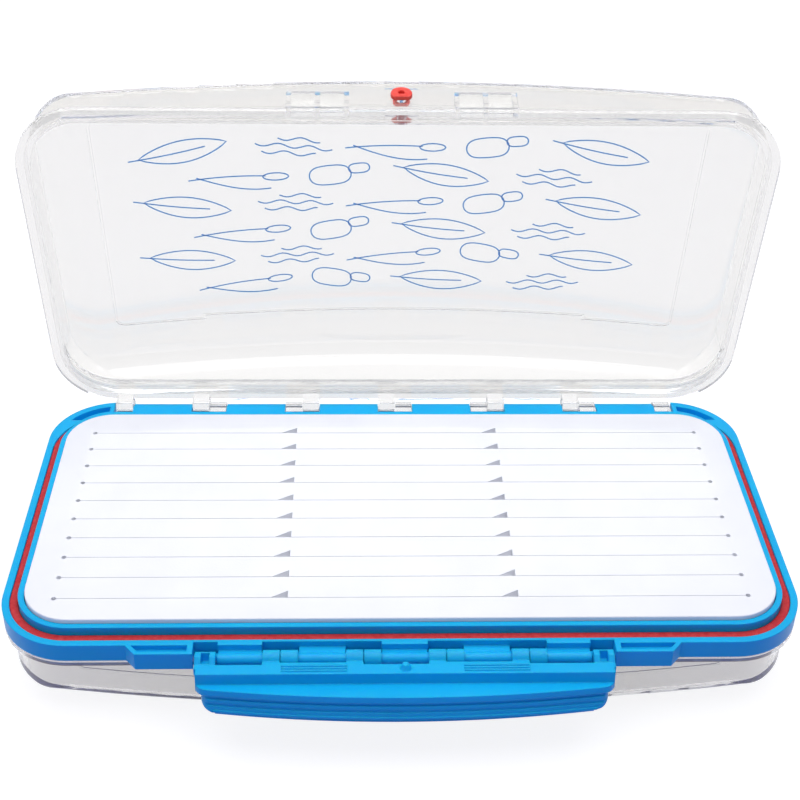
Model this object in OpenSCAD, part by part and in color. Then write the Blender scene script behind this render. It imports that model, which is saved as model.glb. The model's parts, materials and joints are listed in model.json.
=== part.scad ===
// Double-sided waterproof fly box: one frame between two clear hinged lids.
// Millimetres. The origin is the centre of the flat underside of the lower lid.
// The front, with the latches, faces -Y. The hinges are at +Y.
// Every module draws its piece with Z = 0 on the frame's middle plane.

/* [Frame] */
// Width of the frame
frame_w = 198; // [190:1:230]
// Depth of the frame, front to rear
frame_d = 102; // [96:1:120]
// Height of the frame's outer band
band_h = 4.9; // [4.2:0.1:7]
// Outer corner radius of the frame
corner_r = 18; // [16:0.5:22]
// Thickness of the floor that divides the box
floor_t = 1.5; // [1.2:0.1:2.4]
// Plain strip outside the gasket groove, front and sides
groove_edge = 1.8; // [1.4:0.1:2.5]
// Plain strip behind the gasket groove, where the hinges are
rear_strip = 6.3; // [6:0.05:7.2]
// Width of the gasket groove
groove_w = 2.25; // [2:0.05:2.4]
// Depth of the gasket groove
groove_depth = 1.2; // [0.9:0.1:1.5]
// Land between the groove and the raised inner wall
groove_land = 0.05; // [0.05:0.05:0.2]
// Thickness of the raised inner wall
inner_wall_t = 1.5; // [1:0.1:2]
// Height of the raised inner wall above the rim
inner_wall_h = 1.9; // [1.5:0.1:2.6]

/* [Foam and gasket] */
// Play around the foam sheet
foam_play = 0.2; // [0.2:0.05:0.4]
// Height of the foam above the rim
foam_rise = 3.0; // [2.8:0.05:3.3]
// Rows of slits in the foam
slit_rows = 10; // [4:1:10]
// Distance between slit rows
slit_pitch = 7.67; // [6.5:0.01:7.9]
// Distance from the foam's rear edge to the first slit row
first_slit = 9.4; // [6:0.05:10]
// Width of a slit
slit_w = 0.25; // [0.2:0.05:0.5]
// Depth of a slit
slit_depth = 2.2; // [1:0.1:3]
// Radius of the hole at each end of a slit
slit_hole_r = 0.85; // [0.6:0.05:1.2]
// Distance of the end holes from the middle
slit_hole_x = 85.4; // [70:0.1:86]
// Distance of the notches from the middle
notch_x = 28.4; // [15:0.1:40]
// Length of a notch
notch_l = 4.3; // [3:0.1:6]
// Width of a notch
notch_w = 2.7; // [1.5:0.1:3.5]
// Depth of a notch
notch_depth = 1.6; // [0.8:0.1:2.4]
// Width of the gasket
gasket_w = 2.05; // [1.8:0.05:2.1]
// Distance of the gasket's top below the rim
gasket_sink = 0.3; // [0.2:0.05:0.5]

/* [Lids] */
// Gap between the closed lid and the rim
lid_gap = 0.15; // [0.1:0.05:0.3]
// Height of the lid's crown above its flange underside
crown_h = 19.6; // [17:0.1:21]
// Height of the crown where it meets the end walls
crown_end_h = 10.9; // [9.5:0.1:12.5]
// Depth of the flat that the crown is cut to
crown_cut = 0.5; // [0.2:0.05:0.7]
// Thickness of the lid's panel
panel_t = 1.3; // [1:0.1:1.3]
// Thickness of the lid's side walls
lid_wall_t = 1.8; // [1.6:0.1:2.4]
// Thickness of the lid's flange
flange_t = 1.5; // [1.2:0.1:2]
// Width of the flange outside the wall
flange_w = 2; // [1.6:0.1:2.4]
// Fillet at the front of the crown
front_fillet = 3; // [2:0.1:4]
// Fillet at the rear of the crown
rear_fillet = 8; // [5:0.1:9]
// Width of the rib that presses on the gasket
press_rib_w = 1; // [0.8:0.05:1.3]
// Half width of the rectangle on the lid's panel
panel_line_x = 82; // [60:0.5:84]
// Width of the rectangle's line
panel_line_w = 0.6; // [0.4:0.1:1]
// Depth of the rectangle's line
panel_line_depth = 0.3; // [0.2:0.05:0.4]
// Inner end of a catch lug, from the middle
lug_in = 13.4; // [12:0.1:15]
// Outer end of a catch lug, from the middle
lug_out = 29.3; // [27:0.1:31]
// Height of a catch lug above the flange
lug_h = 6.8; // [5:0.1:7.5]
// How far a catch lug stands out past the flange's edge
lug_proud = 0.6; // [0.3:0.05:0.7]

/* [Valve plugs] */
// Diameter of the plug's head
plug_d = 5.6; // [5:0.1:6]
// Height of the plug above the lid's flange underside
plug_z = 9.6; // [7:0.1:10.5]
// Diameter of the plug's stem
plug_stem_d = 3; // [2.6:0.1:3.4]
// Diameter of the vent hole through the plug
plug_vent_d = 1.6; // [1:0.1:1.8]

/* [Hinges] */
// Plain rear corner beside the hinges, from the frame's side
ear_w = 16.4; // [15.8:0.1:18]
// Width of a hinge leg on a lid
leg_w = 4.8; // [4:0.1:5.2]
// Side play in the hinge
hinge_play = 0.2; // [0.15:0.01:0.3]
// Outer radius of the hinge blocks
block_r = 1.5; // [1.4:0.05:1.6]
// Outer radius of the rings on the legs
ring_r = 2.1; // [1.9:0.05:2.2]
// Diameter of the hinge pins
pin_d = 1.5; // [1.2:0.05:1.8]
// Radial play of the pins in the rings
pin_play = 0.06; // [0.04:0.01:0.1]
// Opening of the upper lid as shown
lid_open = 80; // [0:1:100]

/* [Latches] */
// Radius of the bar that the latches snap on
bar_r = 1.5; // [1.3:0.05:1.6]
// Distance of the bar's axis in front of the frame
bar_out = 2.4; // [2.3:0.05:3]
// Half length of the bar
bar_half = 44.7; // [44:0.1:46]
// Outer radius of the latch's snap rings
knuckle_r = 2.5; // [2.3:0.05:2.6]
// Width of a snap ring
knuckle_w = 4.1; // [3.6:0.1:4.1]
// Play between bar and snap ring
bar_play = 0.08; // [0.05:0.01:0.12]
// Half width of a latch
latch_half = 49.3; // [49:0.1:50]
// Height of the latch's free edge above the bar, in the middle
latch_h = 13.1; // [12.6:0.1:13.6]
// The same at the ends of the bowed edge
latch_end_h = 9.5; // [9.2:0.1:10.5]
// Wall thickness of the latch
latch_t = 1.7; // [1.4:0.1:2]
// Depth of the lip at the latch's free edge
lip_depth = 6.2; // [5:0.1:6.4]
// Grooves along the lip
lip_grooves = 3; // [2:1:4]
// Opening of the upper latch as shown
latch_open = 80; // [0:1:80]

/* [Hidden] */
$fn = 64;
blue = "#14A8E4";
clear = "#E4E8EC";
red = "#CF4349";
plug_red = "#F2463C";
white = "#F6F7FB";
steel = "#B8BCC0";
eps = 0.01;

// Heights from the middle plane
rim_z = band_h / 2;
flange_z = rim_z + lid_gap;
flange_top = flange_z + flange_t;
crown_top = flange_z + crown_h - crown_cut;
mid_z = crown_top;
foam_top = rim_z + foam_rise;
wall_top = rim_z + inner_wall_h;
gasket_top = rim_z - gasket_sink;
groove_z = rim_z - groove_depth;

// Plan of the frame: each outline is [half width, front, rear, corner radius]
frame_x = frame_w / 2;
front_y = -frame_d / 2;
rear_y = frame_d / 2;
// The rear strip moves the inner outlines forward
rear_shift = rear_strip - groove_edge;
function inset(d) = [frame_x - d, front_y + d, rear_y - d - rear_shift, corner_r - d];
groove_in = groove_edge + groove_w;
inner_wall_d = groove_in + groove_land;
tray_d = inner_wall_d + inner_wall_t;
foam_d = tray_d + foam_play;
gasket_d = groove_edge + (groove_w - gasket_w) / 2;
press_d = groove_edge + (groove_w - press_rib_w) / 2;
mouth_d = inner_wall_d - 0.4;

// Hinges: six blocks, and each lid's legs stand either side of three of them
hinge_y = rear_y + 0.1;
notch_half = frame_x - ear_w;
ear_play = 0.5;
block_w = (notch_half - ear_play - 6 * leg_w - 8.5 * hinge_play) / 3;
block_pitch = block_w + 2 * leg_w + 3 * hinge_play;
leg_x = block_w / 2 + hinge_play + leg_w / 2;
block_slots = [-2.5, -1.5, -0.5, 0.5, 1.5, 2.5];
upper_slots = [-2.5, -0.5, 1.5];
pin_len = block_w + 2 * (leg_w + hinge_play);
block_step = 1.9;
leg_reach = 4.1;
leg_clear = 0.8;
notch_y = hinge_y - leg_reach - leg_clear;

// Front: the rim steps back beside the snap rings
bar_y = front_y - bar_out;
rim_step = 1.1;
step_runs = [[-50.5, -44.7], [-34.1, -5.55], [5.55, 34.1], [44.7, 50.5]];
web_runs = [[-44.5, -34.2], [-25.3, -14.2], [-5.4, 5.4], [14.2, 25.3], [34.2, 44.5]];
web_t = 1.6;
side_lug_in = 50.5;
side_lug_out = 66.7;
side_lug_proud = 3;
side_lug_slant = 2.5;
side_lug_wall = 1.4;
side_lug_lip = 0.9;
side_lug_pocket = 1.4;

// Latch, closed and upright: X along the bar, Y inward and Z up from the bar
knuckle_x = [-31.8, -12, 7.7, 27.5];
strip_y = 1;
strip_bottom = 3.6;
strip_top = 7.5;
plate_y = -1.8;
lip_y = plate_y - lip_depth;
edge_half = 47;
edge_drop = latch_h - latch_end_h;
edge_r = (edge_half * edge_half + edge_drop * edge_drop) / (2 * edge_drop);
edge_z = latch_h - edge_r;
lip_t = 2;
lip_side = 1.15;
lip_half = latch_half - lip_side;
lip_corner = 2.8;
lip_border = 0.6;
lip_recess = 0.3;
groove_share = 0.45;
lip_taper = 1.8;
corner_z = 3;
arm_z = 2.8;
arm_runs = [[-33.9, -9.9], [5.6, 29.6]];
block_y = 2.4;
block_z = 2.3;
block_proud = 0.5;
block_pocket = [46.3, 48.3];
snap_mouth = 2.6;
snap_turn = 50;
ridge_in = 13.8;
ridge_out = 29.3;
ridge_h = 0.3;
ridges = 3;
ridge_t = 0.5;
ridge_pitch = 1;
bump_r = 1.5;
bump_y = 2.35;
bump_z = 5.4;

// Small features of the lid
ear_pocket_in = 3.2;
ear_pocket_w = 2.4;
ear_pocket_depth = 2;
ear_pocket_rise = 8.9;
panel_front = -40.2;
panel_rear = 31.3;
panel_step = 1.4;
panel_step_x = 56;
panel_corner = 2.6;
lug_rib = 1.2;
leg_rib = 0.8;
flange_rib_y = rear_y - rear_strip - groove_w - 0.2;
plug_axis_z = flange_z + plug_z;
plug_pad_w = 4.2;
plug_head_t = 1.2;
plug_tail = 1;

// ---- helpers ----

// Rounded rectangle from [half width, front, rear, corner radius]
module plan(p) {
  x = p[0] - p[3];
  translate([-p[0], p[1] + p[3]]) square([2 * p[0], p[2] - p[1] - 2 * p[3]]);
  translate([-x, p[1]]) square([2 * x, p[2] - p[1]]);
  for (sx = [-x, x], y = [p[1] + p[3], p[2] - p[3]])
    translate([sx, y]) circle(r = p[3]);
}

module plan_ring(outer, inner) {
  difference() {
    plan(outer);
    plan(inner);
  }
}

// Extrude from z0 to z1
module rise(z0, z1) {
  translate([0, 0, z0]) linear_extrude(z1 - z0) children();
}

// The same on both sides of the middle plane
module both_sides() {
  children();
  rotate([0, 180, 0]) children();
}

module under() {
  rotate([0, 180, 0]) children();
}

module seated() {
  translate([0, 0, mid_z]) children();
}

// Block between two X values, two Y values and two Z values
module box(x, y, z) {
  translate([x[0], y[0], z[0]]) cube([x[1] - x[0], y[1] - y[0], z[1] - z[0]]);
}

// Extrude a Y-Z outline from x0 to x1
module along_x(x0, x1) {
  translate([x0, 0, 0]) rotate([90, 0, 90]) linear_extrude(x1 - x0) children();
}

// Cylinder along X, centred on x
module x_rod(r, x, w) {
  translate([x - w / 2, 0, 0]) rotate([0, 90, 0]) cylinder(r = r, h = w);
}

module turned_about(y, angle) {
  translate([0, y, 0]) rotate([angle, 0, 0]) translate([0, -y, 0]) children();
}

// ---- frame ----

module band_outline() {
  difference() {
    plan([frame_x, front_y, rear_y, corner_r]);
    for (r = step_runs)
      translate([r[0], front_y - 1]) square([r[1] - r[0], rim_step + 1]);
    translate([-notch_half, notch_y]) square([2 * notch_half, rear_y]);
  }
}

module hinge_block() {
  intersection() {
    union() {
      box([-block_w / 2, block_w / 2], [notch_y - 1, hinge_y - block_step], [-rim_z, rim_z]);
      box([-block_w / 2, block_w / 2], [notch_y - 1, hinge_y], [-block_r, block_r]);
      translate([0, hinge_y, 0]) x_rod(block_r, 0, block_w);
    }
    box([-block_w, block_w], [0, frame_d], [-rim_z, rim_z]);
  }
}

// Blind pocket that follows the rear corner of the rim
module ear_pocket() {
  mid_r = corner_r - ear_pocket_in;
  rise(rim_z - ear_pocket_depth, rim_z + 1)
    for (s = [-1, 1])
      scale([s, 1, 1])
        intersection() {
          translate([frame_x - corner_r, rear_y - corner_r])
            difference() {
              circle(r = mid_r + ear_pocket_w / 2);
              circle(r = mid_r - ear_pocket_w / 2);
            }
          translate([notch_half + ear_pocket_w / 2, rear_y - corner_r + ear_pocket_rise])
            square([corner_r, corner_r]);
        }
}

// Lug with a slanted outer end
module side_lug() {
  y = front_y - side_lug_proud;
  difference() {
    rise(-rim_z, rim_z)
      polygon([[side_lug_in, front_y + 1], [side_lug_in, y], [side_lug_out - side_lug_slant, y],
               [side_lug_out, front_y], [side_lug_out, front_y + 1]]);
    both_sides_of_lug()
      polygon([[side_lug_in + side_lug_wall, front_y], [side_lug_in + side_lug_wall, y + side_lug_lip],
               [side_lug_out - side_lug_slant - side_lug_wall / 2, y + side_lug_lip],
               [side_lug_out - side_lug_wall, front_y]]);
  }
}

module both_sides_of_lug() {
  for (z = [rim_z - side_lug_pocket, -rim_z - 1])
    translate([0, 0, z]) linear_extrude(side_lug_pocket + 1) children();
}

module latch_bar() {
  translate([0, bar_y, 0]) x_rod(bar_r, 0, 2 * bar_half);
  for (r = web_runs)
    box(r, [bar_y, front_y + rim_step + 1], [-web_t / 2, web_t / 2]);
}

module mid_frame() {
  color(blue)
    seated() {
      difference() {
        union() {
          difference() {
            rise(-rim_z, rim_z) band_outline();
            both_sides() rise(floor_t / 2, rim_z + 1) plan(inset(inner_wall_d + eps));
          }
          rise(-wall_top, wall_top) plan_ring(inset(inner_wall_d), inset(tray_d));
          rise(-floor_t / 2, floor_t / 2) plan(inset(inner_wall_d));
          for (i = block_slots)
            translate([i * block_pitch, 0, 0]) hinge_block();
        }
        both_sides() {
          rise(groove_z, rim_z + 1) plan_ring(inset(groove_edge), inset(groove_in));
          ear_pocket();
        }
        translate([0, hinge_y, 0]) x_rod(pin_d / 2, 0, 2 * notch_half);
      }
      side_lug();
      mirror([1, 0, 0]) side_lug();
      latch_bar();
    }
}

// ---- foam and gaskets ----

module slit_row() {
  rise(foam_top - slit_depth, foam_top + 1)
    translate([-slit_hole_x, -slit_w / 2]) square([2 * slit_hole_x, slit_w]);
  for (x = [-slit_hole_x, slit_hole_x])
    translate([x, 0, foam_top - slit_depth]) cylinder(r = slit_hole_r, h = slit_depth + 1);
  for (x = [-notch_x, notch_x])
    rise(foam_top - notch_depth, foam_top + 1)
      polygon([[x - notch_l, 0], [x, 0], [x, notch_w]]);
}

module foam() {
  p = inset(foam_d);
  color(white)
    difference() {
      rise(floor_t / 2, foam_top) plan(p);
      for (i = [0 : slit_rows - 1])
        translate([0, p[2] - first_slit - i * slit_pitch, 0]) slit_row();
    }
}

module gasket() {
  color(red)
    rise(groove_z, gasket_top)
      plan_ring(inset(gasket_d), inset(gasket_d + gasket_w));
}

module upper_foam() { seated() foam(); }
module lower_foam() { seated() under() foam(); }
module upper_gasket() { seated() gasket(); }
module lower_gasket() { seated() under() gasket(); }

// ---- lids ----

// Radius of the crown, from its heights in the middle and at the end walls
crown_drop = crown_h - crown_end_h;
crown_half = frame_x - flange_w;
crown_r = (crown_half * crown_half + crown_drop * crown_drop) / (2 * crown_drop);

// Outlines of the lid
wall_plan = [frame_x - flange_w, front_y + flange_w, rear_y - flange_w - 1, corner_r - flange_w];
cavity_plan = [wall_plan[0] - lid_wall_t, wall_plan[1] + lid_wall_t,
               wall_plan[2] - lid_wall_t, wall_plan[3] - lid_wall_t];
flange_plan = [frame_x, front_y, rear_y - 1, corner_r];

// Crowned solid between two Y values, turned about an axis far below the box
module crown(r, y0, y1, f0, f1) {
  below = 2 * crown_h;
  axis_z = flange_z + crown_h - crown_r;
  half_angle = asin((frame_x + 1) / crown_r);
  translate([0, 0, axis_z])
    rotate([90, 0, 0])
      rotate([0, 0, 90 - half_angle])
        rotate_extrude(angle = 2 * half_angle, $fn = 720)
          crown_section(r, -y1, -y0, f1, f0, below);
}

// Section of the crown: radius across, depth up, with both outer corners rounded
module crown_section(r, y0, y1, f0, f1, below) {
  translate([r - below, y0]) square([below - max(f0, f1), y1 - y0]);
  translate([r - below, y0 + f0]) square([below, y1 - y0 - f0 - f1]);
  translate([r - max(f0, f1) - 1, y0]) square([max(f0, f1) + 1 - f0, f0 + eps]);
  translate([r - max(f0, f1) - 1, y1 - f1 - eps]) square([max(f0, f1) + 1 - f1, f1 + eps]);
  translate([r - f0, y0 + f0]) circle(r = f0);
  translate([r - f1, y1 - f1]) circle(r = f1);
}

module lid_outside() {
  intersection() {
    crown(crown_r, wall_plan[1], wall_plan[2], front_fillet, rear_fillet);
    rise(flange_z, crown_top) plan(wall_plan);
  }
}

module lid_inside() {
  intersection() {
    crown(crown_r - panel_t, cavity_plan[1], cavity_plan[2],
          front_fillet - panel_t, rear_fillet - panel_t);
    rise(flange_top, crown_top) plan(cavity_plan);
  }
  rise(flange_z - 1, flange_top + eps) plan(inset(mouth_d));
}

// Area inside the panel's rectangle, stepped beside the hinges and drawn in by d
module panel_area(d) {
  difference() {
    plan([panel_line_x - d, panel_front + d, panel_rear - d, panel_corner - d]);
    translate([-panel_step_x - d, panel_rear - panel_step - d])
      square([2 * (panel_step_x + d), panel_corner]);
  }
}

module panel_line() {
  intersection() {
    crown(crown_r - panel_t + panel_line_depth, panel_front - panel_corner, panel_rear + panel_corner,
          panel_line_depth, panel_line_depth);
    rise(flange_top, 2 * crown_top)
      difference() {
        panel_area(0);
        panel_area(panel_line_w);
      }
  }
}

// Side of a leg in Y-Z: its back slopes from the flange down to the ring
module leg_side() {
  tangent = ring_r / sqrt(2);
  polygon([[hinge_y - leg_reach, -ring_r], [hinge_y, -ring_r], [hinge_y + tangent, tangent],
           [hinge_y + 2 * tangent - flange_top, flange_top],
           [wall_plan[2] - 1, flange_top], [hinge_y - leg_reach, flange_z + eps]]);
}

// Legs with rings that stand either side of a hinge block
module hinge_legs() {
  for (i = upper_slots, s = [-1, 1])
    translate([i * block_pitch + s * leg_x, 0, 0]) {
      translate([0, hinge_y, 0]) x_rod(ring_r, 0, leg_w);
      along_x(-leg_w / 2, leg_w / 2) leg_side();
      box([-leg_w / 2, leg_w / 2], [flange_rib_y, wall_plan[2] - 1],
          [flange_z, flange_top + leg_rib]);
    }
}

module catch_lug() {
  y = front_y - lug_proud;
  z = flange_top + lug_h;
  difference() {
    box([lug_in, lug_out], [y, wall_plan[1] + 0.5], [flange_top - eps, z]);
    for (x = [lug_in + lug_rib, (lug_in + lug_out + lug_rib) / 2])
      box([x, x + (lug_out - lug_in - 3 * lug_rib) / 2], [wall_plan[1] - 1.2, wall_plan[1]],
          [flange_top, z + 1]);
  }
}

module lid() {
  color(clear)
    difference() {
      union() {
        lid_outside();
        rise(flange_z, flange_top) plan(flange_plan);
        hinge_legs();
        catch_lug();
        mirror([1, 0, 0]) catch_lug();
        rise(gasket_top + 0.05, flange_z + eps)
          plan_ring(inset(press_d), inset(press_d + press_rib_w));
        intersection() {
          box([-plug_pad_w, plug_pad_w], [wall_plan[1] - 0.5, wall_plan[1] + 1],
              [flange_top, plug_axis_z + plug_d / 2 + 0.8]);
          rise(flange_z, crown_top - 0.5) plan(flange_plan);
        }
      }
      lid_inside();
      panel_line();
      translate([0, hinge_y, 0]) x_rod(pin_d / 2 + pin_play, 0, 2 * notch_half);
      translate([0, 0, plug_axis_z]) rotate([90, 0, 0]) cylinder(d = plug_stem_d, h = frame_d);
    }
}

module upper_lid() { seated() turned_about(hinge_y, -lid_open) lid(); }
module lower_lid() { seated() under() lid(); }

// ---- valve plugs ----

module plug_disc(d, y0, y1) {
  intersection() {
    translate([0, y1, plug_axis_z]) rotate([90, 0, 0]) cylinder(d = d, h = y1 - y0);
    box([-d, d], [y0, y1], [plug_axis_z - d / 2 + 0.9, plug_axis_z + d]);
  }
}

module valve_plug() {
  head_y = wall_plan[1] - 0.5;
  color(plug_red)
    difference() {
      union() {
        plug_disc(plug_d, head_y - plug_head_t, head_y);
        plug_disc(plug_d - 1.2, cavity_plan[1], cavity_plan[1] + plug_tail);
        translate([0, cavity_plan[1] + eps, plug_axis_z])
          rotate([90, 0, 0]) cylinder(d = plug_stem_d, h = cavity_plan[1] - head_y + 2 * eps);
      }
      translate([0, cavity_plan[1] + plug_tail + 1, plug_axis_z])
        rotate([90, 0, 0]) cylinder(d = plug_vent_d, h = 2 * plug_d);
    }
}

module upper_valve_plug() { seated() turned_about(hinge_y, -lid_open) valve_plug(); }
module lower_valve_plug() { seated() under() valve_plug(); }

// ---- hinge pins ----

module hinge_pin(n) {
  color(steel)
    seated()
      translate([block_slots[n] * block_pitch, hinge_y, 0]) x_rod(pin_d / 2, 0, pin_len);
}

module hinge_pin_1() { hinge_pin(0); }
module hinge_pin_2() { hinge_pin(1); }
module hinge_pin_3() { hinge_pin(2); }
module hinge_pin_4() { hinge_pin(3); }
module hinge_pin_5() { hinge_pin(4); }
module hinge_pin_6() { hinge_pin(5); }

// ---- latches ----

// Extrude an X-Z outline from n0 to n1, inward along Y
module inward(n0, n1) {
  translate([0, n1, 0]) rotate([90, 0, 0]) linear_extrude(n1 - n0) children();
}

// Outline of the latch in X-Z: bowed free edge, round corners, drawn in by d
module latch_outline(half, z0, d) {
  intersection() {
    translate([-half, z0]) square([2 * half, latch_h]);
    translate([0, edge_z]) circle(r = edge_r - d, $fn = 360);
    union() {
      translate([-half, z0]) square([2 * half, latch_end_h - corner_z - z0]);
      translate([-half + corner_z, z0]) square([2 * (half - corner_z), latch_h]);
      for (s = [-1, 1])
        translate([s * (half - corner_z), latch_end_h - corner_z]) circle(r = corner_z);
    }
  }
}

module knuckles() {
  for (x = knuckle_x)
    difference() {
      union() {
        x_rod(knuckle_r, x, knuckle_w);
        box([x - knuckle_w / 2, x + knuckle_w / 2], [strip_y - latch_t, strip_y], [0, strip_bottom]);
      }
      x_rod(bar_r + bar_play, x, knuckle_w + 1);
      rotate([snap_turn, 0, 0])
        box([x - knuckle_w, x + knuckle_w], [-snap_mouth / 2, snap_mouth / 2], [-2 * knuckle_r, 0]);
    }
}

// Hollow block beside each end of the bar, cut back below so that both latches turn past each other
module end_block() {
  play = 0.2;
  difference() {
    along_x(bar_half + play, latch_half + block_proud)
      polygon([[-play / 2, play], [block_y, play], [block_y, block_z], [strip_y, strip_bottom],
               [strip_y, strip_bottom + latch_t], [strip_y - latch_t, strip_bottom + latch_t],
               [strip_y - latch_t, latch_t]]);
    box(block_pocket, [strip_y - latch_t / 2, block_y + 1], [play + 0.4, strip_bottom - 0.2]);
  }
}

// The strip spans the latch and reaches down to the bar between the snap rings
module latch_strip() {
  translate([-latch_half, strip_bottom]) square([2 * latch_half, strip_top - strip_bottom]);
  for (r = arm_runs)
    translate([r[0], arm_z]) square([r[1] - r[0], strip_bottom - arm_z + eps]);
}

// Extrude an X-Y outline through the whole height of the latch
module lip_plan() {
  linear_extrude(2 * latch_h) children();
}

// Shell of everything beyond the bowed edge, drawn in by d
module beyond_edge(d) {
  inward(lip_y - 1, plate_y + 1)
    difference() {
      translate([-latch_half, 0]) square([2 * latch_half, 2 * latch_h]);
      translate([0, edge_z]) circle(r = edge_r - d, $fn = 360);
    }
}

// Face of the lip: straight below, bowed above, so that its band narrows to the middle
module lip_face() {
  bow_r = (lip_half * lip_half + lip_taper * lip_taper) / (2 * lip_taper);
  intersection() {
    translate([-lip_half + 1, lip_y + lip_border]) square([2 * lip_half - 2, lip_depth]);
    translate([0, plate_y - bow_r]) circle(r = bow_r, $fn = 360);
  }
}

// Outward lip along the bowed edge, with a sunk and grooved face
module lip() {
  step = (lip_depth - lip_border) / lip_grooves;
  difference() {
    intersection() {
      inward(lip_y, plate_y)
        difference() {
          latch_outline(lip_half, strip_top, 0);
          latch_outline(lip_half - lip_t, 0, lip_t);
        }
      lip_plan()
        union() {
          translate([-lip_half, lip_y + lip_corner]) square([2 * lip_half, lip_depth]);
          translate([lip_corner - lip_half, lip_y]) square([2 * (lip_half - lip_corner), lip_depth]);
          for (s = [-1, 1])
            translate([s * (lip_half - lip_corner), lip_y + lip_corner]) circle(r = lip_corner);
        }
    }
    intersection() {
      beyond_edge(lip_recess);
      lip_plan() lip_face();
    }
    intersection() {
      beyond_edge(2 * lip_recess);
      lip_plan()
        intersection() {
          lip_face();
          for (i = [0 : lip_grooves - 1])
            translate([-lip_half, lip_y + lip_border + (i + 1 - groove_share) * step])
              square([2 * lip_half, groove_share * step]);
        }
    }
  }
}

module latch() {
  outer_y = plate_y - latch_t;
  color(blue)
    union() {
      knuckles();
      end_block();
      mirror([1, 0, 0]) end_block();
      inward(strip_y - latch_t, strip_y) latch_strip();
      inward(outer_y, strip_y)
        translate([-latch_half, strip_top - latch_t]) square([2 * latch_half, latch_t]);
      inward(outer_y, plate_y) latch_outline(latch_half, strip_top - latch_t, 0);
      for (s = [-1, 1])
        inward(outer_y, strip_y)
          translate([s * (latch_half - latch_t / 2) - latch_t / 2, strip_bottom])
            square([latch_t, strip_top - strip_bottom]);
      lip();
      for (x = [-ridge_out, ridge_in], i = [0 : ridges - 1])
        box([x, x + ridge_out - ridge_in], [strip_y - eps, strip_y + ridge_h],
            [strip_bottom + ridge_t + i * ridge_pitch, strip_bottom + 2 * ridge_t + i * ridge_pitch]);
      translate([0, strip_y - eps, bump_z])
        rotate([-90, 0, 0]) cylinder(r1 = bump_r, r2 = bump_r / 2, h = bump_y - strip_y + eps);
    }
}

module upper_latch() {
  seated() translate([0, bar_y, 0]) rotate([latch_open, 0, 0]) latch();
}
module lower_latch() { seated() under() translate([0, bar_y, 0]) latch(); }

mid_frame();
upper_lid();
lower_lid();
upper_latch();
lower_latch();
upper_gasket();
lower_gasket();
upper_foam();
lower_foam();
upper_valve_plug();
lower_valve_plug();
hinge_pin_1();
hinge_pin_2();
hinge_pin_3();
hinge_pin_4();
hinge_pin_5();
hinge_pin_6();
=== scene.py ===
"""Double-sided waterproof fly box, open, on a white studio table."""
import json
import math

import bmesh
import bpy
from mathutils import Matrix, Vector


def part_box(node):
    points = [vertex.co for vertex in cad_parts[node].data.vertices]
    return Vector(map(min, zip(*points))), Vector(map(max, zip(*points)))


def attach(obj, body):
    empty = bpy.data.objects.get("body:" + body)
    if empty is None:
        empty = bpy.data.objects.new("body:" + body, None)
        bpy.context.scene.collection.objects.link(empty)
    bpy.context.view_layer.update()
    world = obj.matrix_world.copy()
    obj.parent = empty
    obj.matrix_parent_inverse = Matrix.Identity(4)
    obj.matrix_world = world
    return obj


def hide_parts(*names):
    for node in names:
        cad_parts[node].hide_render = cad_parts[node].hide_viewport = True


MM = 0.001

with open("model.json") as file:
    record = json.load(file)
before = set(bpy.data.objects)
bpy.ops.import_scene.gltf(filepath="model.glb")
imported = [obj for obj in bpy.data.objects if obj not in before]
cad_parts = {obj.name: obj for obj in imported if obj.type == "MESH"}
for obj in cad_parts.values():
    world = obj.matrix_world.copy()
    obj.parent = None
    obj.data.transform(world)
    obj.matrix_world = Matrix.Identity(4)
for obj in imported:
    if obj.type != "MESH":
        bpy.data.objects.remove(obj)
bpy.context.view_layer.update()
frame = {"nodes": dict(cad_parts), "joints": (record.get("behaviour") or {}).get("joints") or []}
NODES = frame["nodes"]
JOINTS = {joint["name"]: joint for joint in frame["joints"]}

# Sizes of the real box, in millimetres
MIDDLE_Z = JOINTS["upper_lid_hinge"]["pos_m"][2] / MM
HINGE_Y = JOINTS["upper_lid_hinge"]["pos_m"][1] / MM
LID_OPEN = JOINTS["upper_lid_hinge"]["range_deg"][1]
# Plan of the frame: half width, half depth and corner radius; the rear strip is wider
FRAME_X = 99
FRAME_Y = 51
CORNER_R = 18
REAR_SHIFT = 4.5
RIM_Z = 2.45
# Crown of a lid: its radius and the flat that the box lies on
CROWN_R = 545.1
CROWN_FLAT = MIDDLE_Z
CROWN_CUT = 0.5
CROWN_TOP = CROWN_FLAT + CROWN_CUT


# ---- mesh helpers ----

def new_object(name, bm, smooth_angle=None):
    """Make an object of a mesh that is built in millimetres."""
    bmesh.ops.scale(bm, vec=(MM, MM, MM), verts=bm.verts)
    bmesh.ops.recalc_face_normals(bm, faces=bm.faces)
    mesh = bpy.data.meshes.new(name)
    bm.to_mesh(mesh)
    bm.free()
    obj = bpy.data.objects.new(name, mesh)
    bpy.context.scene.collection.objects.link(obj)
    if smooth_angle:
        mesh.shade_smooth()
        mesh.set_sharp_from_angle(angle=math.radians(smooth_angle))
    return obj


def rounded_loop(half_x, front, rear, radius, steps=12):
    """Points of a rounded rectangle, counter-clockwise seen from above."""
    points = []
    corners = [(half_x - radius, rear - radius, 0), (radius - half_x, rear - radius, 90),
               (radius - half_x, front + radius, 180), (half_x - radius, front + radius, 270)]
    for x, y, start in corners:
        for i in range(steps + 1):
            a = math.radians(start + 90 * i / steps)
            points.append((x + radius * math.cos(a), y + radius * math.sin(a)))
    return points


def ring_of(bm, points, z):
    return [bm.verts.new((x, y, z)) for x, y in points]


def bridge(bm, a, b):
    for i in range(len(a)):
        j = (i + 1) % len(a)
        bm.faces.new((a[i], a[j], b[j], b[i]))


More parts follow.
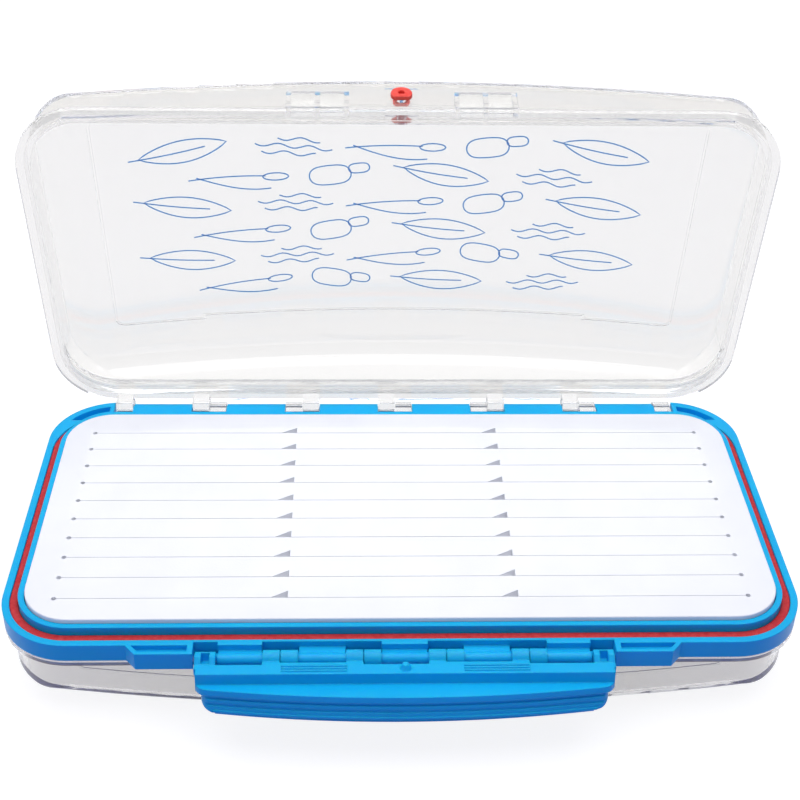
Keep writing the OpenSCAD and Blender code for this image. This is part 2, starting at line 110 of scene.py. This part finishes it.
def prism(bm, outline, z0, z1):
    low = ring_of(bm, outline, z0)
    high = ring_of(bm, outline, z1)
    bridge(bm, low, high)
    bm.faces.new(low[::-1])
    bm.faces.new(high)


def cut(obj, cutter, operation="DIFFERENCE"):
    """Apply a boolean cut and remove the cutter."""
    modifier = obj.modifiers.new("cut", "BOOLEAN")
    modifier.operation = operation
    modifier.solver = "EXACT"
    modifier.object = cutter
    bpy.context.view_layer.update()
    graph = bpy.context.evaluated_depsgraph_get()
    mesh = bpy.data.meshes.new_from_object(obj.evaluated_get(graph))
    obj.modifiers.clear()
    obj.data = mesh
    bpy.data.objects.remove(cutter)


def place(obj, side, lid=False):
    """Move a piece drawn from the middle plane to the upper or the lower side."""
    matrix = Matrix.Translation((0, 0, MIDDLE_Z * MM))
    if side == "lower":
        matrix = matrix @ Matrix.Rotation(math.pi, 4, "Y")
    elif lid:
        hinge = Matrix.Translation((0, HINGE_Y * MM, 0))
        turn = Matrix.Rotation(math.radians(-LID_OPEN), 4, "X")
        matrix = matrix @ hinge @ turn @ hinge.inverted()
    obj.data.transform(matrix)
    obj.data.update()


# ---- materials ----

def srgb(hex_code):
    """An sRGB hex colour as linear RGBA."""
    values = [int(hex_code[i:i + 2], 16) / 255 for i in (1, 3, 5)]
    linear = [v / 12.92 if v <= 0.04045 else ((v + 0.055) / 1.055) ** 2.4 for v in values]
    return (*linear, 1)


def add_node(tree, kind, settings=(), inputs=(), links=()):
    """Add a node with its settings, input values and links from (node, output)."""
    node = tree.nodes.new(kind)
    for key, value in dict(settings).items():
        setattr(node, key, value)
    for key, value in dict(inputs).items():
        node.inputs[key].default_value = value
    for key, (source, output) in dict(links).items():
        tree.links.new(source.outputs[output], node.inputs[key])
    return node


def new_material(name):
    material = bpy.data.materials.new(name)
    material.use_nodes = True
    material.node_tree.nodes.clear()
    return material, material.node_tree


def finish_material(tree, shader):
    add_node(tree, "ShaderNodeOutputMaterial", links={"Surface": (shader, 0)})


def moulded_abs():
    """Injection-moulded ABS with a fine spark-eroded grain: satin, with soft broad highlights."""
    material, tree = new_material("moulded_abs_blue")
    place_at = add_node(tree, "ShaderNodeTexCoord")
    # Grain of a mould's surface is about 0.1 mm; drawn at 0.4 mm so that it shows
    grain = add_node(tree, "ShaderNodeTexNoise", inputs={"Scale": 2500, "Detail": 2},
                     links={"Vector": (place_at, "Object")})
    flow = add_node(tree, "ShaderNodeTexNoise", inputs={"Scale": 40, "Detail": 3},
                    links={"Vector": (place_at, "Object")})
    colour = add_node(tree, "ShaderNodeValToRGB", links={"Fac": (flow, "Fac")})
    colour.color_ramp.elements[0].position = 0.3
    colour.color_ramp.elements[0].color = srgb("#10AFE8")
    colour.color_ramp.elements[1].position = 0.7
    colour.color_ramp.elements[1].color = srgb("#15B5EE")
    sheen = add_node(tree, "ShaderNodeMapRange", inputs={"To Min": 0.3, "To Max": 0.42},
                     links={"Value": (flow, "Fac")})
    # Moulded edges have a radius of about 0.4 mm
    edges = add_node(tree, "ShaderNodeBevel", settings={"samples": 6}, inputs={"Radius": 0.4 * MM})
    bump = add_node(tree, "ShaderNodeBump", inputs={"Strength": 0.06, "Distance": 0.1 * MM},
                    links={"Height": (grain, "Fac"), "Normal": (edges, 0)})
    shader = add_node(tree, "ShaderNodeBsdfPrincipled",
                      inputs={"IOR": 1.54, "Specular IOR Level": 0.15, "Subsurface Weight": 0.4,
                              "Subsurface Radius": (0.1, 0.45, 1.3), "Subsurface Scale": 2 * MM},
                      links={"Base Color": (colour, "Color"), "Roughness": (sheen, "Result"),
                             "Normal": (bump, "Normal")})
    finish_material(tree, shader)
    return material


# Turns that light takes in the clear wall before it goes straight on
LAST_TURN = 3.5
HAZE = 0.1


def clear_polycarbonate():
    """Polished clear polycarbonate: bright, with grey rims where the wall is seen edge on."""
    material, tree = new_material("clear_polycarbonate")
    place_at = add_node(tree, "ShaderNodeTexCoord")
    # Slow waves of the moulded sheet, about 25 mm long
    wave = add_node(tree, "ShaderNodeTexNoise", inputs={"Scale": 40, "Detail": 1},
                    links={"Vector": (place_at, "Object")})
    bump = add_node(tree, "ShaderNodeBump", inputs={"Strength": 0.015, "Distance": 0.3 * MM},
                    links={"Height": (wave, "Fac")})
    shader = add_node(tree, "ShaderNodeBsdfPrincipled",
                      inputs={"Base Color": srgb("#F6F5F3"), "IOR": 1.5, "Roughness": 0.03,
                              "Transmission Weight": 1.0},
                      links={"Normal": (bump, "Normal")})
    through = add_node(tree, "ShaderNodeBsdfTransparent", inputs={"Color": srgb("#F0F1F3")})
    path = add_node(tree, "ShaderNodeLightPath")
    # Light that has turned often in the wall goes straight on, so that no rim turns black
    late = add_node(tree, "ShaderNodeMath", settings={"operation": "GREATER_THAN"},
                    inputs={1: LAST_TURN}, links={0: (path, "Ray Depth")})
    straight = add_node(tree, "ShaderNodeMath", settings={"operation": "MAXIMUM"},
                        links={0: (path, "Is Shadow Ray"), 1: (late, 0)})
    # Fine scratches scatter a small share of the light
    haze = add_node(tree, "ShaderNodeBsdfDiffuse", inputs={"Color": srgb("#DCD8CE")})
    hazy = add_node(tree, "ShaderNodeMixShader", inputs={0: HAZE}, links={1: (shader, 0), 2: (haze, 0)})
    mix = add_node(tree, "ShaderNodeMixShader",
                   links={0: (straight, 0), 1: (hazy, 0), 2: (through, 0)})
    finish_material(tree, mix)
    return material


def silicone(name, low, high, roughness):
    """Cast silicone rubber: a dull surface that holds a little lint and pale dust."""
    material, tree = new_material(name)
    place_at = add_node(tree, "ShaderNodeTexCoord")
    dust = add_node(tree, "ShaderNodeTexNoise", inputs={"Scale": 900, "Detail": 4},
                    links={"Vector": (place_at, "Object")})
    colour = add_node(tree, "ShaderNodeValToRGB", links={"Fac": (dust, "Fac")})
    colour.color_ramp.elements[0].position = 0.35
    colour.color_ramp.elements[0].color = srgb(low)
    colour.color_ramp.elements[1].position = 0.75
    colour.color_ramp.elements[1].color = srgb(high)
    bump = add_node(tree, "ShaderNodeBump", inputs={"Strength": 0.2, "Distance": 0.05 * MM},
                    links={"Height": (dust, "Fac")})
    shader = add_node(tree, "ShaderNodeBsdfPrincipled",
                      inputs={"Roughness": roughness, "IOR": 1.41, "Specular IOR Level": 0.2,
                              "Subsurface Weight": 0.1,
                              "Subsurface Scale": 0.5 * MM},
                      links={"Base Color": (colour, "Color"), "Normal": (bump, "Normal")})
    finish_material(tree, shader)
    return material


def eva_foam():
    """Closed-cell EVA foam: matt white with the skin of fine cells."""
    material, tree = new_material("white_eva_foam")
    place_at = add_node(tree, "ShaderNodeTexCoord")
    # Cells of 0.2 mm, drawn at 0.5 mm
    cells = add_node(tree, "ShaderNodeTexVoronoi", inputs={"Scale": 2000},
                     links={"Vector": (place_at, "Object")})
    mottle = add_node(tree, "ShaderNodeTexNoise", inputs={"Scale": 60, "Detail": 4},
                      links={"Vector": (place_at, "Object")})
    colour = add_node(tree, "ShaderNodeValToRGB", links={"Fac": (mottle, "Fac")})
    colour.color_ramp.elements[0].position = 0.3
    colour.color_ramp.elements[0].color = srgb("#F3F4F9")
    colour.color_ramp.elements[1].position = 0.7
    colour.color_ramp.elements[1].color = srgb("#F8F9FC")
    bump = add_node(tree, "ShaderNodeBump", inputs={"Strength": 0.15, "Distance": 0.06 * MM},
                    links={"Height": (cells, "Distance")})
    shader = add_node(tree, "ShaderNodeBsdfPrincipled",
                      inputs={"Roughness": 0.75, "IOR": 1.48, "Sheen Weight": 0.1},
                      links={"Base Color": (colour, "Color"), "Normal": (bump, "Normal")})
    finish_material(tree, shader)
    return material


def drawn_steel():
    """Drawn stainless wire: grey metal with fine lines along it."""
    material, tree = new_material("drawn_stainless_steel")
    place_at = add_node(tree, "ShaderNodeTexCoord")
    stretch = add_node(tree, "ShaderNodeMapping", inputs={"Scale": (50, 6000, 6000)},
                       links={"Vector": (place_at, "Object")})
    lines = add_node(tree, "ShaderNodeTexNoise", inputs={"Scale": 1, "Detail": 2},
                     links={"Vector": (stretch, 0)})
    rough = add_node(tree, "ShaderNodeMapRange", inputs={"To Min": 0.22, "To Max": 0.38},
                     links={"Value": (lines, "Fac")})
    shader = add_node(tree, "ShaderNodeBsdfPrincipled",
                      inputs={"Base Color": srgb("#C6C9CC"), "Metallic": 1.0},
                      links={"Roughness": (rough, "Result")})
    finish_material(tree, shader)
    return material


def print_ink():
    """Pad-printed ink on the lid: thin, slightly uneven and satin."""
    material, tree = new_material("blue_pad_print_ink")
    place_at = add_node(tree, "ShaderNodeTexCoord")
    patch = add_node(tree, "ShaderNodeTexNoise", inputs={"Scale": 700, "Detail": 2},
                     links={"Vector": (place_at, "Object")})
    colour = add_node(tree, "ShaderNodeValToRGB", links={"Fac": (patch, "Fac")})
    colour.color_ramp.elements[0].position = 0.35
    colour.color_ramp.elements[0].color = srgb("#10A8E0")
    colour.color_ramp.elements[1].position = 0.65
    colour.color_ramp.elements[1].color = srgb("#2CB8EE")
    body = add_node(tree, "ShaderNodeBsdfPrincipled", inputs={"Roughness": 0.5, "IOR": 1.5},
                    links={"Base Color": (colour, "Color")})
    glow = add_node(tree, "ShaderNodeBsdfTransparent", inputs={"Color": srgb("#30BCEA")})
    shader = add_node(tree, "ShaderNodeMixShader", inputs={0: 0.85}, links={1: (body, 0), 2: (glow, 0)})
    finish_material(tree, shader)
    return material


ABS = moulded_abs()
POLYCARBONATE = clear_polycarbonate()
GASKET_SILICONE = silicone("gasket_silicone_red", "#C22F34", "#D24446", 0.55)
PLUG_SILICONE = silicone("plug_silicone_red", "#F2463C", "#FA6A60", 0.4)
FOAM = eva_foam()
STEEL = drawn_steel()
INK = print_ink()


def give(obj, material):
    obj.data.materials.clear()
    obj.data.materials.append(material)


for node, material in [("mid_frame", ABS), ("upper_latch", ABS), ("lower_latch", ABS),
                       ("upper_lid", POLYCARBONATE), ("lower_lid", POLYCARBONATE)]:
    NODES[node].material_slots[0].material = material
for number in range(1, 7):
    NODES[f"hinge_pin_{number}"].material_slots[0].material = STEEL

# ---- foam sheets ----

FOAM_BOX = [[v / MM for v in corner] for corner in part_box("upper_foam")]
FOAM_X = FOAM_BOX[1][0]
FOAM_FRONT = FOAM_BOX[0][1]
FOAM_REAR = FOAM_BOX[1][1]
FOAM_R = 12.2
FOAM_LOW = FOAM_BOX[0][2] - MIDDLE_Z
FOAM_TOP = FOAM_BOX[1][2] - MIDDLE_Z
FOAM_EDGE = 0.35
SLITS = 10
SLIT_PITCH = 7.67
FIRST_SLIT = 9.4
SLIT_END = 85.4
SLIT_HALF = 0.1
SLIT_DEPTH = 2.2
HOLE_R = 0.62
NOTCH_X = 28.4
NOTCH_L = 4.4
NOTCH_W = 2.5
NOTCH_SHALLOW = 0.3
NOTCH_DEPTH = 3


def slit_y(row):
    return FOAM_REAR - FIRST_SLIT - row * SLIT_PITCH


def foam_slab():
    """Sheet with a rounded upper edge."""
    bm = bmesh.new()
    rings = [ring_of(bm, rounded_loop(FOAM_X, FOAM_FRONT, FOAM_REAR, FOAM_R), FOAM_LOW)]
    for i in range(6):
        a = math.radians(90 * i / 5)
        d = FOAM_EDGE * (1 - math.cos(a))
        z = FOAM_TOP - FOAM_EDGE + FOAM_EDGE * math.sin(a)
        loop = rounded_loop(FOAM_X - d, FOAM_FRONT + d, FOAM_REAR - d, FOAM_R - d)
        rings.append(ring_of(bm, loop, z))
    for a, b in zip(rings, rings[1:]):
        bridge(bm, a, b)
    bm.faces.new(rings[0][::-1])
    bm.faces.new(rings[-1])
    return new_object("foam_slab", bm)


def slit_cutter():
    """Narrow V that a blade leaves, one for each row."""
    bm = bmesh.new()
    for row in range(SLITS):
        y = slit_y(row)
        ends = []
        for x in (-SLIT_END, SLIT_END):
            ends.append([bm.verts.new((x, y - SLIT_HALF, FOAM_TOP + 0.2)),
                         bm.verts.new((x, y + SLIT_HALF, FOAM_TOP + 0.2)),
                         bm.verts.new((x, y, FOAM_TOP - SLIT_DEPTH))])
        bridge(bm, ends[0], ends[1])
        bm.faces.new(ends[0][::-1])
        bm.faces.new(ends[1])
    return new_object("slit_cutter", bm)


def hole_cutter():
    """Punched hole at each end of a slit."""
    bm = bmesh.new()
    for row in range(SLITS):
        for x in (-SLIT_END, SLIT_END):
            loop = [(x + HOLE_R * math.cos(math.tau * i / 24),
                     slit_y(row) + HOLE_R * math.sin(math.tau * i / 24)) for i in range(24)]
            prism(bm, loop, FOAM_TOP - SLIT_DEPTH, FOAM_TOP + 1)
    return new_object("hole_cutter", bm)


def notch_cutter():
    """Wedge that guides a hook into its slit: flush at the left, deep at the right."""
    bm = bmesh.new()
    for row in range(SLITS):
        for right in (-NOTCH_X, NOTCH_X):
            y = slit_y(row)
            plan = [(right - NOTCH_L, y, NOTCH_SHALLOW), (right, y, NOTCH_DEPTH),
                    (right, y + NOTCH_W, NOTCH_DEPTH)]
            low = [bm.verts.new((x, yy, FOAM_TOP - d)) for x, yy, d in plan]
            high = [bm.verts.new((x, yy, FOAM_TOP + 0.5)) for x, yy, d in plan]
            bridge(bm, low, high)
            bm.faces.new(low[::-1])
            bm.faces.new(high)
    return new_object("notch_cutter", bm)


def make_foam(side):
    foam = foam_slab()
    cut(foam, slit_cutter())
    cut(foam, notch_cutter())
    cut(foam, hole_cutter())
    foam.name = f"{side}_foam_sheet"
    foam.data.shade_smooth()
    foam.data.set_sharp_from_angle(angle=math.radians(40))
    give(foam, FOAM)
    place(foam, side)
    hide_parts(f"{side}_foam")
    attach(foam, "frame")


# ---- gaskets ----

GASKET_W = 2.15
GASKET_IN = 1.85
GASKET_LOW = 1.25
GASKET_TOP = 2.18
GASKET_SHOULDER = 0.35


def make_gasket(side):
    """Flat cord with rounded shoulders in its groove."""
    bm = bmesh.new()
    shoulder = GASKET_SHOULDER
    section = [(0, GASKET_LOW)]
    for i in range(5):
        a = math.radians(180 - 90 * i / 4)
        section.append((shoulder + shoulder * math.cos(a),
                        GASKET_TOP - shoulder + shoulder * math.sin(a)))
    for i in range(5):
        a = math.radians(90 - 90 * i / 4)
        section.append((GASKET_W - shoulder + shoulder * math.cos(a),
                        GASKET_TOP - shoulder + shoulder * math.sin(a)))
    section.append((GASKET_W, GASKET_LOW))
    rings = []
    for d, z in section:
        inset = GASKET_IN + d
        loop = rounded_loop(FRAME_X - inset, inset - FRAME_Y, FRAME_Y - REAR_SHIFT - inset,
                            CORNER_R - inset, 16)
        rings.append(ring_of(bm, loop, z))
    for a, b in zip(rings, rings[1:] + rings[:1]):
        bridge(bm, a, b)
    gasket = new_object(f"{side}_gasket_cord", bm, 35)
    give(gasket, GASKET_SILICONE)
    place(gasket, side)
    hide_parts(f"{side}_gasket")
    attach(gasket, "frame")


# ---- valve plugs ----

PLUG_D = 5.6
PLUG_Z = MIDDLE_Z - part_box("lower_valve_plug")[0][2] / MM - PLUG_D / 2
PLUG_FLAT = 0.9
HEAD_BACK = -49.5
HEAD_T = 1.2
WALL_BACK = -47
TAIL_T = 1
TAIL_D = 4.4
STEM_D = 3
VENT_D = 1.6


def plug_loop(d, steps=48):
    """Round outline with a flat side towards the flange."""
    flat = PLUG_FLAT - PLUG_D / 2
    points = []
    for i in range(steps):
        a = math.tau * i / steps
        points.append((d / 2 * math.cos(a), max(d / 2 * math.sin(a), flat * d / PLUG_D)))
    return points


def make_valve_plug(side):
    """Soft D-shaped plug with rounded edges and a vent hole, pushed through the lid's wall."""
    tail_end = WALL_BACK + TAIL_T
    head_end = HEAD_BACK - HEAD_T
    # (diameter, y) along the plug; the small differences round its edges
    profile = [(STEM_D, WALL_BACK), (TAIL_D - 0.5, WALL_BACK), (TAIL_D, WALL_BACK + 0.25),
               (TAIL_D, tail_end - 0.25), (TAIL_D - 0.5, tail_end),
               (VENT_D, tail_end), (VENT_D, head_end + 0.2),
               (VENT_D + 0.3, head_end), (PLUG_D - 0.9, head_end),
               (PLUG_D - 0.25, head_end + 0.14), (PLUG_D, head_end + 0.42),
               (PLUG_D, HEAD_BACK - 0.15), (PLUG_D - 0.3, HEAD_BACK), (STEM_D, HEAD_BACK)]
    bm = bmesh.new()
    rings = []
    for d, y in profile:
        rings.append([bm.verts.new((x, y, PLUG_Z + z)) for x, z in plug_loop(d)])
    for a, b in zip(rings, rings[1:] + rings[:1]):
        bridge(bm, a, b)
    plug = new_object(f"{side}_valve_plug_rubber", bm, 30)
    give(plug, PLUG_SILICONE)
    place(plug, side, lid=True)
    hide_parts(f"{side}_valve_plug")
    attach(plug, f"{side}_lid")


for side in ("upper", "lower"):
    make_foam(side)
    make_gasket(side)
    make_valve_plug(side)

# ---- print on the upper lid ----

INK_W = 0.38
INK_T = 0.03
PRINT_ROWS = 6
PRINT_COLUMNS = 5
PRINT_FRONT = -28.2
PRINT_PITCH_X = 28.6
PRINT_PITCH_Y = 9.3
PRINT_OFFSET_X = -1
# Degrees between two tilts of a motif
TILT_STEP = 3.5
LEAF = 24
RIPPLE = 21
REED = 27
PEBBLE = 17


def crown_z(x):
    """Height of the lid's outside over the middle plane."""
    return min(CROWN_TOP - CROWN_R + math.sqrt(CROWN_R ** 2 - x ** 2), CROWN_FLAT)


def leaf_lines(length):
    """Willow leaf: two bowed edges, a midrib and a stalk."""
    n = 16
    edge = [(length * (i / n - 0.5), 0.16 * length * math.sin(math.pi * i / n) ** 0.8)
            for i in range(n + 1)]
    back = [(x, -0.8 * y) for x, y in edge[::-1]]
    rib = [(length * (i / n - 0.62), 0.02 * length * math.sin(math.pi * i / n))
           for i in range(n - 1)]
    return [(edge + back[1:-1], True), (rib, False)]


def ripple_lines(length):
    """Three short waves, one below the other."""
    n = 24
    lines = []
    for k, share in enumerate((0.7, 1, 0.55)):
        lines.append(([(length * share * (i / n - 0.5) + 1.2 * k,
                        2.3 * (1 - k) + 0.6 * math.sin(math.tau * 2.5 * share * i / n))
                       for i in range(n + 1)], False))
    return lines


def pebble_lines(length):
    """Flat river stone with a second, smaller one beside it."""
    n = 28
    lines = []
    for x0, y0, size in ((-0.2, 0, 0.34), (0.28, -0.08, 0.17)):
        lines.append(([(length * (x0 + size * math.cos(math.tau * i / n)),
                        length * (y0 + 0.6 * size * math.sin(math.tau * i / n)
                                  + 0.05 * size * math.sin(3 * math.tau * i / n)))
                       for i in range(n)], True))
    return lines


def reed_lines(length):
    """Cat-tail: a long bent stem with a rounded seed head and a narrow blade."""
    n = 18
    stem = [(length * (i / n - 0.5), 0.12 * length * (i / n - 0.5) ** 2) for i in range(n - 3)]
    head = [(length * (0.38 + 0.13 * math.cos(math.tau * i / 20)),
             0.02 * length + 0.045 * length * math.sin(math.tau * i / 20)) for i in range(20)]
    blade = [(length * (0.75 * i / n - 0.42), 0.17 * length * math.sin(math.pi * i / n * 0.6))
             for i in range(n + 1)]
    return [(stem, False), (head, True), (blade, False)]


def ink_line(bm, points, closed):
    """Thin raised ribbon along a line that lies on the crown."""
    rings = []
    for i, (x, y) in enumerate(points):
        before = points[i - 1] if closed or i else points[0]
        after = points[(i + 1) % len(points)] if closed or i + 1 < len(points) else points[-1]
        along = Vector((after[0] - before[0], after[1] - before[1])).normalized()
        side_x, side_y = -along.y * INK_W / 2, along.x * INK_W / 2
        corners = []
        for k, lift in ((-1, -INK_T), (1, -INK_T), (1, INK_T), (-1, INK_T)):
            px, py = x + k * side_x, y + k * side_y
            corners.append(bm.verts.new((px, py, crown_z(px) + lift)))
        rings.append(corners)
    for a, b in zip(rings, rings[1:] + (rings[:1] if closed else [])):
        bridge(bm, a, b)
    if not closed:
        bm.faces.new(rings[0][::-1])
        bm.faces.new(rings[-1])


def make_print():
    """Water-side pattern in a regular stagger: leaves, ripples, stones and reeds."""
    motifs = [(leaf_lines, LEAF), (ripple_lines, RIPPLE), (reed_lines, REED),
              (pebble_lines, PEBBLE)]
    bm = bmesh.new()
    for row in range(PRINT_ROWS):
        shift = PRINT_PITCH_X / 2 if row % 2 else 0
        columns = PRINT_COLUMNS - row % 2
        for column in range(columns):
            draw, length = motifs[(column + 2 * row) % 4]
            x0 = (column - (PRINT_COLUMNS - 1) / 2) * PRINT_PITCH_X + shift + PRINT_OFFSET_X
            y0 = PRINT_FRONT + row * PRINT_PITCH_Y
            turn = math.radians(((row * 3 + column * 5) % 7 - 3) * TILT_STEP)
            for points, closed in draw(length):
                turned = [(x0 + x * math.cos(turn) - y * math.sin(turn),
                           y0 + x * math.sin(turn) + y * math.cos(turn)) for x, y in points]
                ink_line(bm, turned, closed)
    printed = new_object("upper_lid_print", bm)
    give(printed, INK)
    place(printed, "upper", lid=True)
    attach(printed, "upper_lid")


make_print()

# ---- studio ----

FLOOR_HALF = 3000
FLOOR_DROP = 0.03
# Half axes of the painted shadow oval on the paper under the box, in metres
PAINTED_SHADOW_X = 0.135
PAINTED_SHADOW_Y = 0.075
SOFT_LIGHT = 0.26
# Camera, solved from the photograph: place in metres, angles in degrees
CAMERA_X = -0.01218
CAMERA_Y = -0.30126
CAMERA_OVER_RIM = 0.24232
CAMERA_YAW = 2.23
CAMERA_PITCH = -34.41
CAMERA_ROLL = 1.24
LENS = 64.63


def studio_paper():
    """Seamless white paper: white to the eye, a soft bluish bounce for the object's sides, and a
    painted shadow under the box that shows only through the clear lid.
    """
    material, tree = new_material("studio_paper")
    path = add_node(tree, "ShaderNodeLightPath")
    seen = add_node(tree, "ShaderNodeMath", settings={"operation": "MAXIMUM"},
                    links={0: (path, "Is Camera Ray"), 1: (path, "Is Glossy Ray")})
    bounce = add_node(tree, "ShaderNodeBsdfPrincipled",
                      inputs={"Base Color": srgb("#9490DC"), "Roughness": 0.9})
    # Seen through the clear lid, the paper that the box covers carries a painted shadow, a grey oval
    place_at = add_node(tree, "ShaderNodeTexCoord")
    painted_shadow_spot = add_node(tree, "ShaderNodeMapping", inputs={"Scale": (1 / PAINTED_SHADOW_X, 1 / PAINTED_SHADOW_Y, 0)},
                    links={"Vector": (place_at, "Object")})
    far = add_node(tree, "ShaderNodeVectorMath", settings={"operation": "LENGTH"},
                   links={0: (painted_shadow_spot, 0)})
    # Painted shadow: grey inside the oval, the paper's white outside it
    painted_shadow_ramp = add_node(tree, "ShaderNodeValToRGB", links={"Fac": (far, "Value")})
    painted_shadow_ramp.color_ramp.elements[0].position = 0.85
    painted_shadow_ramp.color_ramp.elements[0].color = srgb("#A4A4AA")
    painted_shadow_ramp.color_ramp.elements[1].position = 0.98
    painted_shadow_ramp.color_ramp.elements[1].color = srgb("#F6F3EE")
    plain = add_node(tree, "ShaderNodeBsdfPrincipled", inputs={"Roughness": 0.9},
                     links={"Base Color": (painted_shadow_ramp, "Color")})
    shade = add_node(tree, "ShaderNodeBsdfPrincipled",
                     inputs={"Base Color": srgb("#8C8C8E"), "Roughness": 0.9})
    glow = add_node(tree, "ShaderNodeEmission", inputs={"Color": srgb("#FFFFFF"), "Strength": 0.86})
    paper = add_node(tree, "ShaderNodeAddShader", links={0: (shade, 0), 1: (glow, 0)})
    behind = add_node(tree, "ShaderNodeMixShader",
                      links={0: (path, "Is Transmission Ray"), 1: (bounce, 0), 2: (plain, 0)})
    mix = add_node(tree, "ShaderNodeMixShader", links={0: (seen, 0), 1: (behind, 0), 2: (paper, 0)})
    finish_material(tree, mix)
    return material


def make_floor():
    bm = bmesh.new()
    bmesh.ops.create_grid(bm, x_segments=1, y_segments=1, size=FLOOR_HALF)
    floor = new_object("studio_floor", bm)
    # A hair below the lid, so that no two surfaces lie in one plane
    floor.location.z = -FLOOR_DROP * MM
    give(floor, studio_paper())


def make_world():
    """White studio: plain for diffuse light; what is reflected is darker behind the camera."""
    world = bpy.data.worlds.new("studio")
    bpy.context.scene.world = world
    world.use_nodes = True
    tree = world.node_tree
    tree.nodes.clear()
    path = add_node(tree, "ShaderNodeLightPath")
    direction = add_node(tree, "ShaderNodeTexCoord")
    split = add_node(tree, "ShaderNodeSeparateXYZ", links={0: (direction, "Generated")})
    wall = add_node(tree, "ShaderNodeValToRGB", links={0: (split, "Y")})
    wall.color_ramp.elements[0].position = 0.0
    wall.color_ramp.elements[0].color = srgb("#8A8C92")
    wall.color_ramp.elements[1].position = 0.45
    wall.color_ramp.elements[1].color = srgb("#FFFFFF")
    soft = add_node(tree, "ShaderNodeBackground",
                    inputs={"Color": srgb("#D6DCFA"), "Strength": SOFT_LIGHT})
    room = add_node(tree, "ShaderNodeBackground", inputs={"Strength": 1},
                    links={"Color": (wall, 0)})
    white = add_node(tree, "ShaderNodeBackground",
                     inputs={"Color": srgb("#FFFFFF"), "Strength": 1})
    turned = add_node(tree, "ShaderNodeMath", settings={"operation": "MAXIMUM"},
                      links={0: (path, "Is Glossy Ray"), 1: (path, "Is Transmission Ray")})
    lit = add_node(tree, "ShaderNodeMixShader", links={0: (turned, 0), 1: (soft, 0), 2: (room, 0)})
    mix = add_node(tree, "ShaderNodeMixShader",
                   links={0: (path, "Is Camera Ray"), 1: (lit, 0), 2: (white, 0)})
    add_node(tree, "ShaderNodeOutputWorld", links={"Surface": (mix, 0)})


def soft_box(name, place_at, target, size, power):
    lamp = bpy.data.lights.new(name, "AREA")
    lamp.shape = "RECTANGLE"
    lamp.size, lamp.size_y = size
    lamp.energy = power
    obj = bpy.data.objects.new(name, lamp)
    obj.location = place_at
    obj.rotation_euler = (Vector(target) - Vector(place_at)).to_track_quat("-Z", "Y").to_euler()
    bpy.context.scene.collection.objects.link(obj)


def make_camera():
    """A long lens looking down at 34.4 degrees from the latch side."""
    yaw, pitch, roll = [math.radians(a) for a in (CAMERA_YAW, CAMERA_PITCH, CAMERA_ROLL)]
    forward = Vector((math.sin(yaw) * math.cos(pitch), math.cos(yaw) * math.cos(pitch),
                      math.sin(pitch)))
    level = Vector((math.cos(yaw), -math.sin(yaw), 0))
    up = level.cross(forward)
    right = math.cos(roll) * level + math.sin(roll) * up
    above = math.cos(roll) * up - math.sin(roll) * level
    data = bpy.data.cameras.new("camera")
    data.sensor_width = 36
    data.lens = LENS
    camera = bpy.data.objects.new("camera", data)
    axes = Matrix((right, above, -forward)).transposed()
    height = CAMERA_OVER_RIM + (MIDDLE_Z + RIM_Z) * MM
    camera.matrix_world = Matrix.Translation((CAMERA_X, CAMERA_Y, height)) @ axes.to_4x4()
    bpy.context.scene.collection.objects.link(camera)
    bpy.context.scene.camera = camera


make_floor()
make_world()
soft_box("overhead", (0, 0.05, 0.9), (0, 0, 0), (1.2, 0.9), 8.7)
soft_box("front_left", (-0.8, -0.7, 0.7), (0, 0, 0.02), (0.5, 0.5), 1.0)
make_camera()
bpy.context.scene.view_settings.view_transform = "Standard"
